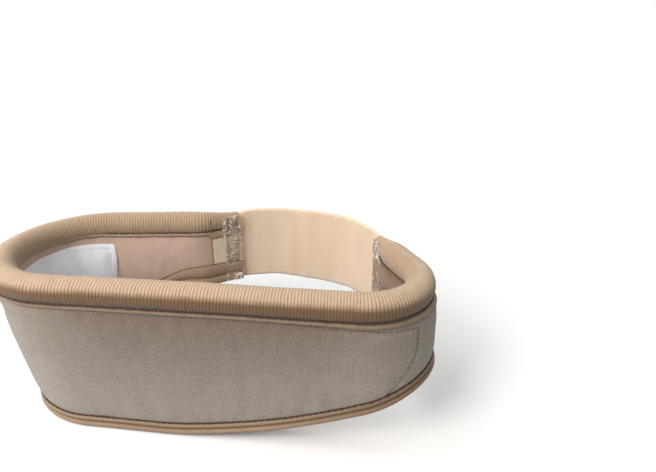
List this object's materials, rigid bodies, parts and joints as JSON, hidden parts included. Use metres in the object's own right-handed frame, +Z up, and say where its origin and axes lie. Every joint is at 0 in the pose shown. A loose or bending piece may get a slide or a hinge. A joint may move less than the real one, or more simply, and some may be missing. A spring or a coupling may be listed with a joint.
{
  "type": "soft cervical collar",
  "caption": "Padded neck band closed into a loop by a short elastic strap, with a piped top edge and a bound lower edge that climbs to the back.",
  "frame": {"origin": "middle of the collar's bounding box at the level that its lower edge rests on", "axes": "+X along the loop's long side, +Y from the long padded front to the elastic strap, +Z up"},
  "size_m": [0.17, 0.0926, 0.061],
  "materials": {
    "foam": "open-cell foam, unseen",
    "cover_knit": "fine jersey knit, matt",
    "lining_cloth": "smooth knit lining, matt",
    "rib_binding": "ribbed knit binding, matt",
    "piping": "soft filler cord, unseen",
    "seam_thread": "sewing thread",
    "pad_cloth": "white brushed cloth",
    "pad_thread": "sewing thread",
    "tab_cloth": "layers sewn flat",
    "tack_thread": "zigzag thread",
    "elastic_web": "woven elastic, soft sheen"
  },
  "bodies": {
    "left_half": {"left_foam_core": "foam", "left_outer_cover": "cover_knit", "left_inner_lining": "lining_cloth", "left_top_binding": "rib_binding", "left_piping_cord": "piping", "left_top_seam_thread": "seam_thread", "left_bottom_binding": "rib_binding", "left_bottom_seam_thread": "seam_thread", "left_inner_pad": "pad_cloth", "left_pad_stitching": "pad_thread", "left_end_tab": "tab_cloth", "left_bartack": "tack_thread", "left_tab_stitching": "tack_thread", "elastic_strap": "elastic_web"},
    "right_half": {"right_foam_core": "foam", "right_outer_cover": "cover_knit", "right_inner_lining": "lining_cloth", "right_top_binding": "rib_binding", "right_piping_cord": "piping", "right_top_seam_thread": "seam_thread", "right_bottom_binding": "rib_binding", "right_bottom_seam_thread": "seam_thread", "right_inner_pad": "pad_cloth", "right_pad_stitching": "pad_thread", "right_end_tab": "tab_cloth", "right_bartack": "tack_thread"}
  },
  "joints": [
    {"name": "band_opening", "type": "hinge", "parent": "left_half", "child": "right_half", "pos_m": [0.02982, -0.04332, 0], "axis": [0, 0, -1], "range_deg": [0, 25], "stiffness_Nm_per_rad": 0.4, "deforming": ["elastic_strap"]}
  ]
}
